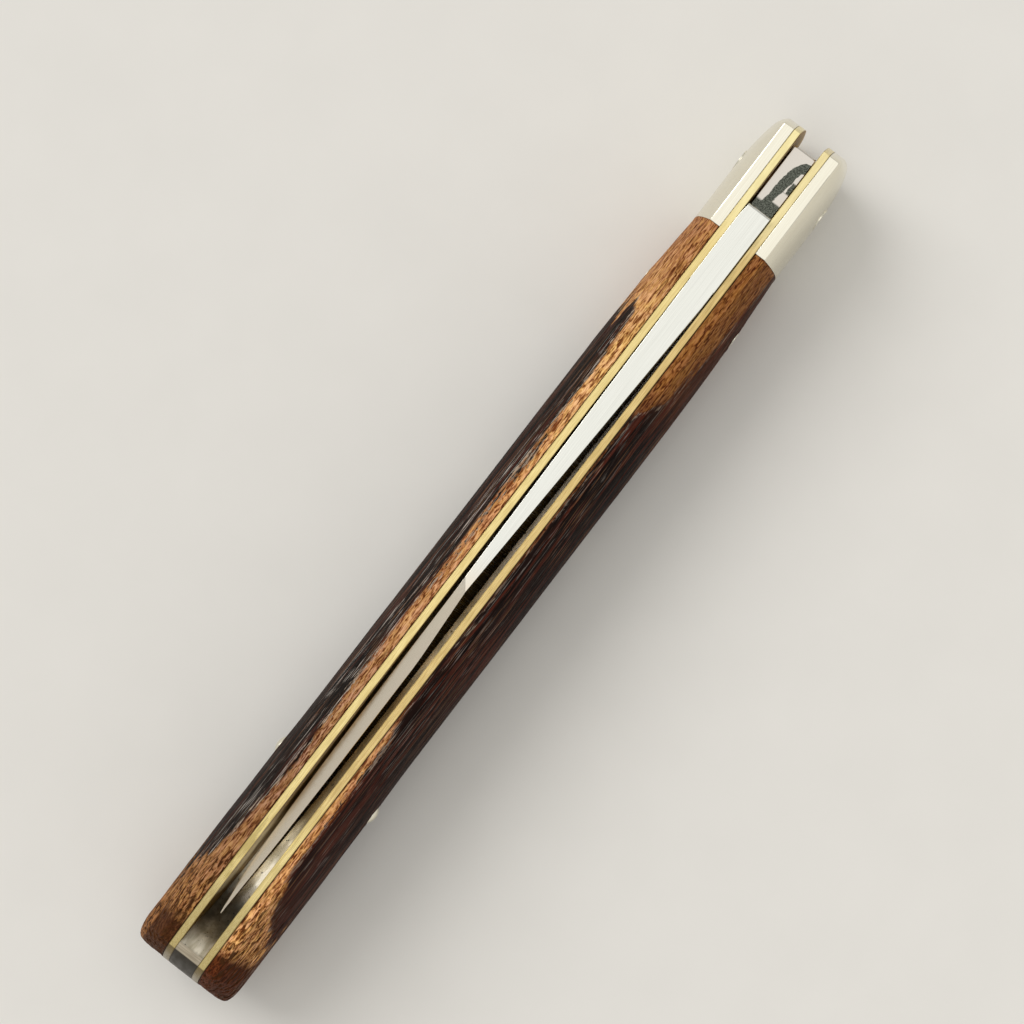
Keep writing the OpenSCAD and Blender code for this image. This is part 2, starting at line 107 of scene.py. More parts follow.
def add_node(tree, kind, *values, output=None, stops=(), **settings):
    """Adds a shader node with its settings and its ramp's stops, and gives back its first output or
    the one that is named. The inputs come in the order of the sockets, or by name in one dict."""
    new = tree.nodes.new("ShaderNode" + kind)
    for name, value in settings.items():
        setattr(new, name, value)
    if values and isinstance(values[0], dict):
        inputs = [(new.inputs[name], value) for name, value in values[0].items()]
    else:
        inputs = zip([socket for socket in new.inputs if socket.enabled], values)
    for socket, value in inputs:
        plug(socket, value)
    for i, (place, tone) in enumerate(stops):
        stop = new.color_ramp.elements[i] if i < 2 else new.color_ramp.elements.new(place)
        stop.position = place
        stop.color = linear(tone) if isinstance(tone, str) else [tone] * 3 + [1.0]
    return new.outputs[output] if output else next(socket for socket in new.outputs if socket.enabled)


def feed(shader, **values):
    """Gives the shader's inputs, such as Base_Color, their links or numbers."""
    for name, value in values.items():
        plug(shader.inputs[name.replace("_", " ")], value)


def new_material(name, **values):
    """An empty material, the function that adds its nodes, and its one shader with these values."""
    material = bpy.data.materials.new(name)
    material.use_nodes = True
    shader = material.node_tree.nodes["Principled BSDF"]
    feed(shader, **values)
    return material, partial(add_node, material.node_tree), shader


def place_mm(node):
    """The place on the piece in millimetres."""
    return node("VectorMath", node("TexCoord", output="Object"), 1 / MM, operation="SCALE")


def streaks(node, place, sizes, detail=2.0, distortion=0.0):
    """Soft streaks, from 0 to 1, of the given sizes in millimetres along X, Y and Z."""
    scaled = node("VectorMath", place, [1 / size for size in sizes], **TIMES)
    return node("TexNoise", {
        "Vector": scaled, "Scale": 1.0, "Detail": detail, "Distortion": distortion,
    })


def along_knife(node, x, stops, top=1.0):
    """A value or colour that changes along a scale, from stops at millimetres in X."""
    low, high = BUTT_X / MM, JOINT_X / MM
    share = node("MapRange", x, low, high)
    placed = [
        ((at - low) / (high - low), value if isinstance(value, str) else value / top)
        for at, value in stops
    ]
    ramp = node("ValToRGB", share, stops=placed)
    return ramp if top == 1.0 else node("Math", ramp, top, **TIMES)


def outline_of(node, share, stops, low, high):
    """A value that runs straight between stops, which lie from low to high."""
    placed = [(at, (value - low) / (high - low)) for at, value in stops]
    return node("MapRange", node("ValToRGB", share, stops=placed), 0.0, 1.0, low, high)


# Wood: shades from the gaps of the grain to its crests, as shares of the wood's tone
BAND_GRAIN = [(0.41, "#77543f"), (0.5, "#d8c6b4"), (0.59, "#ffffff")]
BAND_DRIFT = [(0.42, "#fff4d2"), (0.58, "#fff0ea")]
HEART_GRAIN = [(0.38, "#a09896"), (0.6, "#ffffff")]
HEART_FIGURE = [(0.38, "#a89c98"), (0.5, "#dcd4d0"), (0.62, "#ffffff")]
# How far out from the middle the band ever reaches, in millimetres
BAND_WIDEST = 8.0
# Places are millimetres in X; the band reaches so many millimetres out from the middle
LEFT_WOOD = dict(
    band_reach=[
        (-47, 7.5), (-44, 5.0), (-42, 4.3), (-38.5, 3.8),
        (-32, 3.45), (22, 3.5), (29, 4.0), (33, 7.5),
    ],
    band=[
        (-51, "#583820"), (-49.2, "#b0885c"), (-30, "#b39076"),
        (6, "#f2c290"), (25, "#fad49c"), (38, "#c6986c"),
    ],
    outward_shade=1.0,
    hollows=0.9,
    corner=0.8,
    heart=[(-45, "#17100c"), (10, "#1f1713"), (34, "#2b2018")],
    red=0.4,
    tan=0.5,
    silver=0.72,
    boundary_sheen=0.8,
)
RIGHT_WOOD = dict(
    band_reach=[
        (-48, 6.2), (-44, 4.6), (-39, 3.3), (-22, 3.1),
        (-19, 2.5), (20, 2.5), (24, 4.6), (39, 5.2),
    ],
    band=[
        (-51, "#683a20"), (-49.2, "#fccc94"), (-22, "#d8ac84"),
        (-19, "#8a6444"), (21, "#8a6444"), (25, "#ac7c4c"),
    ],
    outward_shade=0.8,
    hollows=0.5,
    corner=0.0,
    heart=[
        (-50, "#532816"), (-38, "#301610"), (-18, "#22100b"),
        (20, "#1e0e09"), (24, "#502810"), (40, "#44210f"),
    ],
    red=0.6,
    tan=0.5,
    silver=0.2,
    boundary_sheen=0.35,
)


def scale_wood(name, wood):
    """Rosewood, sawn along the grain, sanded and oiled with its pores left open.
    It gives a tan sapwood band along the liner, near-black heartwood outside it with tan and red
    fibres and silver hairs of painted sheen, lumpy grain and dark open pores."""
    material, node, shader = new_material(name, IOR=1.45, Specular_IOR_Level=0.08)
    place = place_mm(node)
    x, y, z = node("SeparateXYZ", place).node.outputs
    y = node("Math", y, operation="ABSOLUTE")

    # The grain runs in slow waves
    wave = node("VectorMath", place, (1 / 24, 1 / 7, 1 / 7), **TIMES)
    wave = node("TexNoise", {"Vector": wave, "Scale": 1.0, "Detail": 1.0}, output="Color")
    wave = node("VectorMath", wave, (0.5, 0.5, 0.5), **LESS)
    flow = node("VectorMath", wave, (0, 0.7, 2.0), place, operation="MULTIPLY_ADD")

    # Low on the side the heartwood reaches along in ragged tongues, but not at the very butt
    side = node("MapRange", z, 14.0, 10.0, **SMOOTH)
    tongue = node("Math", streaks(node, flow, (40, 3.0, 2.3), 3.0), 0.5, **LESS)
    ragged = node("Math", streaks(node, flow, (2.4, 0.5, 0.4)), 0.5, **LESS)
    tongue = node("Math", node("Math", tongue, 42.0, **TIMES), node("Math", ragged, 9.0, **TIMES))
    tongue = node("Math", tongue, node("MapRange", x, -52.0, -48.0, **SMOOTH), **TIMES)
    along = node("Math", x, node("Math", tongue, side, **TIMES))

    # Grain lumps 1 mm long, fibres 3 mm long, hairs 10 mm long and broad streaks 18 mm long
    lumps = streaks(node, flow, (1.0, 0.24, 0.24), 3.0, 1.0)
    fibre = streaks(node, flow, (3.0, 0.13, 0.13))
    hair = streaks(node, flow, (10, 0.13, 0.15), 3.0)
    broad = streaks(node, flow, (18, 0.8, 0.8), 3.0)
    grain = node("Math", node("Math", lumps, 0.65, **TIMES), node("Math", fibre, 0.35, **TIMES))

    # The sapwood band: its tone drifts a little, and on the right scale it darkens outwards in painted
    # shade
    shades = node("ValToRGB", grain, stops=BAND_GRAIN)
    band = node("Mix", 1.0, along_knife(node, along, wood["band"]), shades, **TINT)
    outward_shade = node("MapRange", y, 2.9, 4.3, 1.0, wood["outward_shade"], **SMOOTH)
    band = node("Mix", 1.0, band, outward_shade, **TINT)
    drift = node("ValToRGB", streaks(node, flow, (1.8, 0.4, 0.4)), stops=BAND_DRIFT)
    band = node("Mix", 1.0, band, drift, **TINT)

    # Near the butt the band's cut face has deep hollows, and its outer corner on the left scale has a
    # painted highlight
    hollow = node("MapRange", lumps, 0.48, 0.4, 0.0, wood["hollows"], **SMOOTH)
    hollow = node("Math", hollow, node("MapRange", x, -40.5, -43.0, **SMOOTH), **TIMES)
    band = node("Mix", hollow, band, "#3f220c", **COLOURS)
    corner = node("MapRange", y, 5.0, 5.4, **SMOOTH)
    corner = node("Math", corner, node("MapRange", x, -49.4, -50.2, **SMOOTH), **TIMES)
    corner_highlight = node("MapRange", lumps, 0.44, 0.54, 0.0, wood["corner"], **SMOOTH)
    band = node("Mix", node("Math", corner, corner_highlight, **TIMES), band, "#ab7443", **COLOURS)

    # The heartwood: broad red fibres, long fine tan ones, and silver hairs along its top only, which
    # are painted sheen, stronger on the left scale
    shades = node("ValToRGB", broad, stops=HEART_FIGURE)
    heart = node("Mix", 1.0, along_knife(node, along, wood["heart"]), shades, **TINT)
    heart = node("Mix", 1.0, heart, node("ValToRGB", hair, stops=HEART_GRAIN), **TINT)
    red = streaks(node, flow, (16, 0.5, 0.5), 3.0)
    red = node("MapRange", red, 0.5, 0.62, 0.0, wood["red"], **SMOOTH)
    heart = node("Mix", red, heart, "#552416", **COLOURS)
    tan = streaks(node, flow, (12, 0.2, 0.24), 3.0)
    tan = node("MapRange", tan, 0.57, 0.66, 0.0, wood["tan"], **SMOOTH)
    heart = node("Mix", tan, heart, "#7c573c", **COLOURS)
    silver = streaks(node, flow, (5, 0.1, 0.3), 2.0, 0.4)
    silver = node("MapRange", silver, 0.6, 0.67, 0.0, wood["silver"], **SMOOTH)
    silver = node("Math", silver, node("MapRange", side, 0.0, 0.35, 1.0, 0.0, **SMOOTH), **TIMES)
    heart = node("Mix", silver, heart, "#c4bab0", **COLOURS)

    # The heartwood starts where the band ends, along a jagged line with pale strands of painted sheen,
    # stronger on the left scale
    wander = node("Math", node("Math", broad, 0.5, **LESS), 1.6, **TIMES)
    jagged = node("Math", node("Math", grain, 0.5, **LESS), 1.8, **TIMES)
    reach = along_knife(node, along, wood["band_reach"], BAND_WIDEST)
    past = node("Math", node("Math", y, node("Math", wander, jagged)), reach, **LESS)
    colour = node("Mix", node("MapRange", past, -0.12, 0.12, **SMOOTH), band, heart, **COLOURS)
    boundary_sheen = node("MapRange", past, -0.05, 0.08, **SMOOTH)
    boundary_sheen = node("Math", boundary_sheen, node("MapRange", past, 0.34, 0.16, **SMOOTH), **TIMES)
    strands = streaks(node, flow, (3.5, 0.2, 0.2))
    strands = node("MapRange", strands, 0.5, 0.6, 0.0, wood["boundary_sheen"], **SMOOTH)
    colour = node("Mix", node("Math", boundary_sheen, strands, **TIMES), colour, "#b8a48f", **COLOURS)

    # Thin pores everywhere, the wide ones that are cut into the mesh, and grime along the liner
    thin = node("MapRange", streaks(node, flow, (1.8, 0.13, 0.13), 1.0), 0.62, 0.7, **SMOOTH)
    wide = node("Attribute", output="Fac", attribute_name="pores")
    colour = node("Mix", node("Math", thin, 0.4, **TIMES), colour, "#2b170b", **COLOURS)
    colour = node("Mix", node("Math", wide, 0.85, **TIMES), colour, "#3f240d", **COLOURS)
    liner = LINER_OUT / MM
    grime = node("MapRange", y, liner + 0.17, liner + 0.06, 0.0, 0.8, **SMOOTH)
    colour = node("Mix", grime, colour, "#2b170b", **COLOURS)

    relief = node("Math", grain, node("Math", thin, 0.5, **TIMES), **LESS)
    bump = node("Bump", {"Height": relief, "Strength": 0.8, "Distance": 0.08 * MM})
    rough = node("MapRange", grain, 0.35, 0.65, 0.68, 0.5, **SMOOTH)
    feed(shader, Base_Color=colour, Normal=bump, Roughness=rough)
    return material


# Where the flat top of the butt ends, in millimetres
BUTT_TOP_X = -53.1


def filed_brass():
    """Cartridge brass sheet, its edge filed and rubbed along the knife.
    It gives a warm yellow edge with fine lengthwise scratches and painted shade on the right, palest
    by the bolsters, with brown tarnish near the butt and olive grime along both joints."""
    material, node, shader = new_material("brass_filed", Metallic=1.0)
    place = place_mm(node)
    x, y, _ = node("SeparateXYZ", place).node.outputs
    left_side = partial(node, "MapRange", y, -0.5, 0.5, **SMOOTH)
    scratch = streaks(node, place, (9, 0.06, 0.06))
    blotch = streaks(node, place, (2.2, 0.5, 0.5), 4.0)

    # The right edge is painted darker, as painted shade, but not at the butt
    left = node("ValToRGB", scratch, stops=[(0.35, "#d8c080"), (0.65, "#efdb9c")])
    right = node("ValToRGB", scratch, stops=[(0.35, "#c4a76c"), (0.65, "#e0c68a")])
    bright = node("Math", left_side(), node("MapRange", x, -28, -38, **SMOOTH), **LARGER)
    colour = node("Mix", bright, right, left, **COLOURS)
    palest = node("MapRange", x, 39, 46, 0.0, 0.6, **SMOOTH)
    colour = node("Mix", palest, colour, "#f6ecb8", **COLOURS)

    # Tarnish in blotches, most of it on the left near the butt
    stained = node("MapRange", x, -44.6, -43.4, **SMOOTH)
    stained = node("Math", stained, node("MapRange", x, -30.0, -38.0, **SMOOTH), **TIMES)
    stained = node("Math", node("Math", stained, left_side(0.12, 0.4), **TIMES), 0.12)
    tarnish = node("MapRange", blotch, 0.42, 0.62, **SMOOTH)
    colour = node("Mix", node("Math", tarnish, stained, **TIMES), colour, "#a08a48", **COLOURS)

    # Grime along the well and along the scale
    out = node("Math", y, operation="ABSOLUTE")
    well, scale = WELL_HALF / MM, LINER_OUT / MM
    inner = node("MapRange", out, well + 0.1, well + 0.03, **SMOOTH)
    outer = node("MapRange", out, scale - 0.1, scale - 0.03, **SMOOTH)
    grime = node("Math", node("Math", inner, outer, **LARGER), 0.7, **TIMES)
    colour = node("Mix", grime, colour, "#77632f", **COLOURS)

    # The end at the butt is darkened with painted shade
    end = node("MapRange", x, BUTT_TOP_X, BUTT_TOP_X - 0.2, 0.0, 0.85, **SMOOTH)
    colour = node("Mix", end, colour, "#5a4a28", **COLOURS)
    bump = node("Bump", {"Height": scratch, "Strength": 0.2, "Distance": 0.01 * MM})
    rough = node("MapRange", blotch, 0.35, 0.7, 0.2, 0.36, **SMOOTH)
    feed(shader, Base_Color=colour, Normal=bump, Roughness=rough)
    return material


def dull_brass():
    """The same sheet on the side of the blade well, never rubbed and dirty with old oil.
    It gives a brown-gold wall with darker stains, and a painted pool of light near the tip of the
    blade."""
    material, node, shader = new_material("brass_dull", Metallic=1.0, Roughness=0.45)
    place = place_mm(node)
    x, _, z = node("SeparateXYZ", place).node.outputs
    mottle = streaks(node, place, (5.0, 1.2, 1.6), 4.0)
    colour = node("ValToRGB", mottle, stops=[(0.35, "#83682f"), (0.65, "#bd9850")])
    # A painted pool of light on the upper wall beside the blade's tip
    painted_bright = node("MapRange", x, -46.5, -45, **SMOOTH)
    painted_bright = node("Math", painted_bright, node("MapRange", x, -34, -39, **SMOOTH), **TIMES)
    painted_bright = node("Math", painted_bright, node("MapRange", z, 8, 12, **SMOOTH), **TIMES)
    feed(shader, Base_Color=node("Mix", painted_bright, colour, "#fbefd2", **COLOURS))
    return material


def polished_nickel_silver():
    """Nickel silver, filed flush and buffed.
    It gives a creamy white metal with hairline scratches and a slight waviness."""
    material, node, shader = new_material("nickel_silver_polished", Metallic=1.0)
    place = place_mm(node)
    scratch = streaks(node, place, (6, 0.05, 0.07))
    wave = streaks(node, place, (3.0, 1.2, 2.0), 1.0)
    colour = node("ValToRGB", scratch, stops=[(0.3, "#e6e0cd"), (0.7, "#f0ecdb")])
    height = node("Math", node("Math", wave, 3.0, **TIMES), scratch)
    bump = node("Bump", {"Height": height, "Strength": 0.12, "Distance": 0.01 * MM})
    rough = node("MapRange", wave, 0.3, 0.7, 0.16, 0.24, **SMOOTH)
    feed(shader, Base_Color=colour, Normal=bump, Roughness=rough)
    return material


# The blade's cutting edge and the honed strip along it, in millimetres
EDGE_Z = 4.75
BELLY_LENGTH = 30
BELLY_RISE = 4.85
BELLY_POWER = 2.2
HONED_HEIGHT = 0.62
HEEL_X = 34


def ground_steel(name, line_sizes, tones, roughness, clip_film=0.0, honed=0.0):
    """High-carbon steel, ground on a fine belt.
    It gives a satin metal with hairlines along the belt's travel and a few dark specks. The clip,
    in front of the kink, can have a thin warm film of old oil, and the cutting edge a honed strip."""
    material, node, shader = new_material(name, Metallic=1.0)
    place = place_mm(node)
    x, _, z = node("SeparateXYZ", place).node.outputs
    lines = streaks(node, place, line_sizes, 3.0)
    colour = node("ValToRGB", lines, stops=[(0.3, tones[0]), (0.7, tones[1])])
    film = node("MapRange", x, 0.0, -1.5 + KINK_X / MM, 0.0, clip_film, **SMOOTH)
    colour = node("Mix", film, colour, "#e6dac6", **COLOURS)

    # The honed strip follows the belly, whose rise grows with the distance past its start
    belly = node("MapRange", x, TIP_X / MM + BELLY_LENGTH, TIP_X / MM)
    rise = node("Math", belly, BELLY_POWER, operation="POWER")
    edge = node("Math", node("Math", rise, BELLY_RISE, **TIMES), EDGE_Z)
    height = node("Math", z, edge, **LESS)
    strip = node("MapRange", height, HONED_HEIGHT, HONED_HEIGHT - 0.07, **SMOOTH)
    behind_heel = node("MapRange", x, HEEL_X, HEEL_X - 1, 0.0, honed, **SMOOTH)
    colour = node("Mix", node("Math", strip, behind_heel, **TIMES), colour, "#e6e6e2", **COLOURS)

    specks = node("TexVoronoi", {"Vector": place, "Scale": 0.32})
    specks = node("MapRange", specks, 0.03, 0.02, **SMOOTH)
    colour = node("Mix", specks, colour, "#4a4a46", **COLOURS)
    bump = node("Bump", {"Height": lines, "Strength": 0.12, "Distance": 0.01 * MM})
    rough = node("MapRange", lines, 0.3, 0.7, *roughness, **SMOOTH)
    feed(shader, Base_Color=colour, Normal=bump, Roughness=rough)
    return material


# The painted reflection on the tang: the two edges of its dark band, as shares of the tang's length
# and millimetres in Y, and the pale patches beside it, each from a start to an end along the tang and
# from one side outwards
REFLECTION_LEFT = [
    (0.19, 0.58), (0.33, 0.45), (0.53, 0.38), (0.65, 0.25),
    (0.73, 0.06), (0.83, -0.32), (0.886, -0.81), (0.91, -1.6),
]
REFLECTION_RIGHT = [(0.0, -0.25), (0.33, -0.41), (0.41, -0.57), (0.57, -0.82), (0.73, -0.98), (0.81, -1.6)]
REFLECTION_PATCHES = [(0.22, 0.43, -1.7), (0.4, 0.6, -0.95), (0.57, 0.78, -1.4)]
REFLECTION_REACH = 2


def tang_steel():
    """The same steel on the tang's end, polished by the spring.
    It gives a pale mirror with a painted reflection: a dark curved band across it, and pale patches to
    its right."""
    material, node, shader = new_material("tang_steel_polished", Metallic=1.0, Roughness=0.16)
    place = place_mm(node)
    x, y, _ = node("SeparateXYZ", place).node.outputs
    along = node("MapRange", x, SHOULDER_X / MM, BLADE_END_X / MM)
    ripple = node("Math", streaks(node, place, (0.7, 0.4, 3), 3.0), 0.5, **LESS)
    y = node("Math", y, node("Math", ripple, 0.5, **TIMES))

    left_edge = outline_of(node, along, REFLECTION_LEFT, -REFLECTION_REACH, REFLECTION_REACH)
    left_pale = node("MapRange", node("Math", y, left_edge, **LESS), -0.04, 0.05, **SMOOTH)
    left_pale = node("Math", left_pale, node("MapRange", along, 0.15, 0.19, **SMOOTH), **TIMES)
    right_edge = outline_of(node, along, REFLECTION_RIGHT, -REFLECTION_REACH, REFLECTION_REACH)
    right_pale = node("MapRange", node("Math", y, right_edge, **LESS), 0.04, -0.05, **SMOOTH)
    patches = 0.0
    for start, end, side in REFLECTION_PATCHES:
        patch = node("MapRange", along, start, start + 0.03, **SMOOTH)
        patch = node("Math", patch, node("MapRange", along, end, end - 0.03, **SMOOTH), **TIMES)
        patch = node("Math", patch, node("MapRange", y, side, side + 0.08, **SMOOTH), **TIMES)
        patches = node("Math", patches, patch, **LARGER)
    painted_bright = node("Math", left_pale, node("Math", right_pale, patches, **TIMES), **LARGER)

    # The dark band of the painted reflection is speckled
    speckle = streaks(node, place, (0.16, 0.12, 3))
    mottle = node("ValToRGB", speckle, stops=[(0.4, "#383a34"), (0.62, "#6a6d63")])
    feed(shader, Base_Color=node("Mix", painted_bright, mottle, "#d4cdc3", **COLOURS))
    return material


# How light the spring is along the well, as a share of its tone at millimetres in X
SPRING_TONE_ALONG = [
    (-52.2, "#d0ccc4"), (-50.8, "#e8e4dc"), (-49.6, "#ffffff"), (-37.8, "#fffaf0"), (-35.4, "#94866e"),
    (-19.0, "#b0a084"), (-15.5, "#fff8ea"), (-9.5, "#fff8ea"), (-6.0, "#bcb4a4"), (1.0, "#fbfbff"),
]
# Where the filed land at the spring's end starts, in millimetres
LAND_X = -52.2


def spring_steel():
    """Spring steel, hardened, its well side polished and never cleaned since.
    It gives a warm grey mirror with soft dark stains, tiny pits, file lines across its end and painted
    shade."""
    material, node, shader = new_material("spring_steel_polished", Metallic=1.0)
    place = place_mm(node)
    x, y, _ = node("SeparateXYZ", place).node.outputs
    smear = streaks(node, place, (3.0, 0.7, 1.5), 4.0)
    colour = node("ValToRGB", smear, stops=[(0.38, "#c6bfac"), (0.64, "#f0eadc")])
    colour = node("Mix", 1.0, colour, along_knife(node, x, SPRING_TONE_ALONG), **TINT)

    # Painted shade in the corner along the left liner, and pits
    corner = node("MapRange", y, -0.2, 1.2, **SMOOTH)
    corner = node("Math", corner, node("MapRange", x, -47, -49, **SMOOTH), **TIMES)
    colour = node("Mix", node("Math", corner, 0.4, **TIMES), colour, "#3c362a", **COLOURS)
    pits = node("MapRange", streaks(node, place, (0.4, 0.25, 0.25)), 0.66, 0.74, **SMOOTH)
    colour = node("Mix", pits, colour, "#4a463c", **COLOURS)

    # File lines across the land, and painted shade on the butt behind it
    filed = streaks(node, place, (0.09, 3, 0.5), 1.0)
    filed = node("ValToRGB", filed, stops=[(0.35, "#b4a791"), (0.65, "#d2c6b0")])
    land = node("MapRange", x, LAND_X, LAND_X - 0.1, **SMOOTH)
    colour = node("Mix", land, colour, filed, **COLOURS)
    butt_shade = node("MapRange", x, BUTT_TOP_X, BUTT_TOP_X - 0.2, **SMOOTH)
    colour = node("Mix", butt_shade, colour, "#3c372f", **COLOURS)

    rough = node("MapRange", smear, 0.3, 0.7, 0.26, 0.14, **SMOOTH)
    dull = node("MapRange", x, -45.0, -49.0, 0.0, 0.3, **SMOOTH)
    feed(shader, Base_Color=colour, Roughness=node("Math", rough, dull))
    return material


def washer_bronze():
    """Phosphor bronze shim, cold rolled and oily. It gives a dark brown line beside the tang."""
    material, node, shader = new_material("bronze_rolled", Metallic=1.0, Roughness=0.35)
    rolled = streaks(node, place_mm(node), (2.5, 0.3, 0.1))
    colour = node("ValToRGB", rolled, stops=[(0.3, "#4a3320"), (0.7, "#6b4a30")])
    feed(shader, Base_Color=colour)
    return material


def floor_paper():
    """Matt paper board, pale and warm. It gives a plain ground that takes the knife's shadow."""
    material, node, shader = new_material("paper_board_matt", Roughness=0.9, Specular_IOR_Level=0.0)
    tone = streaks(node, place_mm(node), (9, 9, 9), 3.0)
    feed(shader, Base_Color=node("ValToRGB", tone, stops=[(0.3, "#e0ddd7"), (0.7, "#e2dfd9")]))
    return material


def select_only(piece):
    bpy.ops.object.select_all(action="DESELECT")
    piece.select_set(True)
    bpy.context.view_layer.objects.active = piece


def applied(piece, kind, **settings):
    """Adds a modifier to a piece and applies it."""
    select_only(piece)
    modifier = piece.modifiers.new(kind.lower(), kind)
    for name, value in settings.items():
        setattr(modifier, name, value)
    bpy.ops.object.modifier_apply(modifier=modifier.name)


# Points of a CAD mesh that lie this close are one, and faces that turn by less than this are one
SAME_POINT = 0.0005 * MM
SAME_FACE = math.radians(0.3)
# Edges are rounded where the faces turn by more degrees than this, and shown crisp from a few on
ROUNDED_TURN = 30
CRISP_TURN = 2


def copy_of(name):
    """A merged copy of a CAD piece, ready for shaping, which stands for that piece."""
    piece = bpy.data.objects.new(name + "_finished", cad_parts[name].data.copy())
    bpy.context.scene.collection.objects.link(piece)
    piece.data.materials.clear()
    select_only(piece)
    bpy.ops.mesh.customdata_custom_splitnormals_clear()
    bpy.ops.object.mode_set(mode="EDIT")
    bpy.ops.mesh.select_all(action="SELECT")
    bpy.ops.mesh.remove_doubles(threshold=SAME_POINT)
    bpy.ops.mesh.dissolve_limited(angle_limit=SAME_FACE)
    bpy.ops.mesh.normals_make_consistent(inside=False)
    bpy.ops.object.mode_set(mode="OBJECT")
    return piece


def edges_sharper(piece, angle):
    """The edges of a piece whose faces turn by more than the angle, each with its two ends."""
    select_only(piece)
    bpy.ops.object.mode_set(mode="EDIT")
    bpy.ops.mesh.select_mode(type="EDGE")
    bpy.ops.mesh.select_all(action="DESELECT")
    bpy.ops.mesh.edges_select_sharp(sharpness=math.radians(angle))
    bpy.ops.object.mode_set(mode="OBJECT")
    found = [edge for edge in piece.data.edges if edge.select]
    points = piece.data.vertices
    return [(edge.index, [points[i].co.copy() for i in edge.vertices]) for edge in found]


def softened(piece, width, too_fine=None, crisp=None):
    """Rounds the sharp edges, all but those that are too fine for it, then shades the rest smooth
    but for the crisp lines. Both of these tell an edge by its two ends."""
    sharp = edges_sharper(piece, ROUNDED_TURN)
    weights = piece.data.attributes.new("bevel_weight_edge", "FLOAT", "EDGE")
    for i, ends in sharp:
        weights.data[i].value = 0.0 if too_fine and too_fine(*ends) else 1.0
    applied(piece, "BEVEL", width=width, segments=2, limit_method="WEIGHT", use_clamp_overlap=False)
    select_only(piece)
    bpy.ops.object.shade_smooth_by_angle(angle=math.radians(ROUNDED_TURN))
    if crisp:
        for i, ends in edges_sharper(piece, CRISP_TURN):
            if crisp(*ends):
                piece.data.edges[i].use_edge_sharp = True
    applied(piece, "WEIGHTED_NORMAL", keep_sharp=True, weight=100)


# Round the nail nick: from its low corner to its high one in X and Z, and the face in Y it is cut in
NICK_LOW = Vector((3.5, 0, 12)) * MM
NICK_HIGH = Vector((20, 0, 14.2)) * MM
NICK_FACE = -0.4 * MM
# The facet beside the kink, and the foot of the swedge: outside this face and above this height
KINK_FACET = 1.6 * MM
KINK_SLACK = 0.3 * MM
SWEDGE_FACE = -0.2 * MM
SWEDGE_LOW = 8 * MM


def by_nick(point):
    """Whether a point of the blade lies in the nail nick."""
    inside = NICK_LOW.x < point.x < NICK_HIGH.x and NICK_LOW.z < point.z < NICK_HIGH.z
    return inside and point.y < NICK_FACE


def blade_too_fine(a, b):
    """The tip and the nail nick have edges too fine to round."""
    return min(a.x, b.x) < TIP_X + MM or (by_nick(a) and by_nick(b))


def blade_crisp(a, b):
    """The shallow kink with the facet at its left end, and the foot of the swedge along the blade."""
    by_kink = KINK_X - KINK_SLACK < min(a.x, b.x) and max(a.x, b.x) < KINK_X + KINK_FACET
    by_kink = by_kink and min(a.z, b.z) > BLADE_TOP - KINK_SLACK
    lengthwise = abs(a.x - b.x) > max(0.4 * MM, 5 * abs(a.z - b.z))
    by_swedge = lengthwise and max(a.y, b.y) < SWEDGE_FACE and min(a.z, b.z) > SWEDGE_LOW
    return by_kink or by_swedge


def blade_face(face):
    """0 on the ground faces, 1 on the spine and the other edges, 2 on the tang past the shoulder."""
    if face.center.x > SHOULDER_X + 0.05 * MM:
        return 2
    return 0 if abs(face.normal.y) > 0.5 else 1


def liner_face(face):
    """1 on the wall of the blade well, 0 elsewhere on a liner."""
    return 1 if abs(face.center.y) < WELL_HALF + 0.01 * MM else 0


def finished(name, body, materials, width, pick=None, too_fine=None, crisp=None):
    """A CAD piece with softened edges and its materials; pick gives a face's material."""
    piece = copy_of(name)
    softened(piece, width, too_fine, crisp)
    for material in materials:
        piece.data.materials.append(material)
    if pick:
        for face in piece.data.polygons:
            face.material_index = pick(face)
    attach(piece, body)
    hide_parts(name)
    return piece


# Open grain: length, width and height of its marks in millimetres, and how deep they are cut
PORE, PORE_DEPTH = (1.3, 0.38, 0.38), 0.11
FIBRE, FIBRE_DEPTH = (2.6, 0.22, 0.22), 0.022
HOLLOW, HOLLOW_DEPTH = (7.0, 1.4, 1.4), 0.03
# Share of a pore's depth that sanding left away from the butt, and where the butt's deep ones start
PORE_LEFT = 0.06
DEEP_FROM, DEEP_TO = 41.0, 45.5
# Cuts across each face before its marks are sunk, and the plain rim round each rivet
GRAIN_CUTS = 6
RIVET_RIM = 0.2 * MM
# Faces of the grain that turn by fewer degrees than this are shaded smooth
GRAIN_TURN = 50
RIVETED = ["spring_pin_middle", "spring_pin_rear", "scale_rivet_rear_left", "scale_rivet_front_left"]


def smooth_step(value, low, high):
    share = min(1.0, max(0.0, (value - low) / (high - low)))
    return share * share * (3 - 2 * share)


def marks(place, sizes):
    """Noise from -1 to 1, in marks of the given sizes."""
    return noise.noise(Vector([along / size for along, size in zip(place, sizes)]))


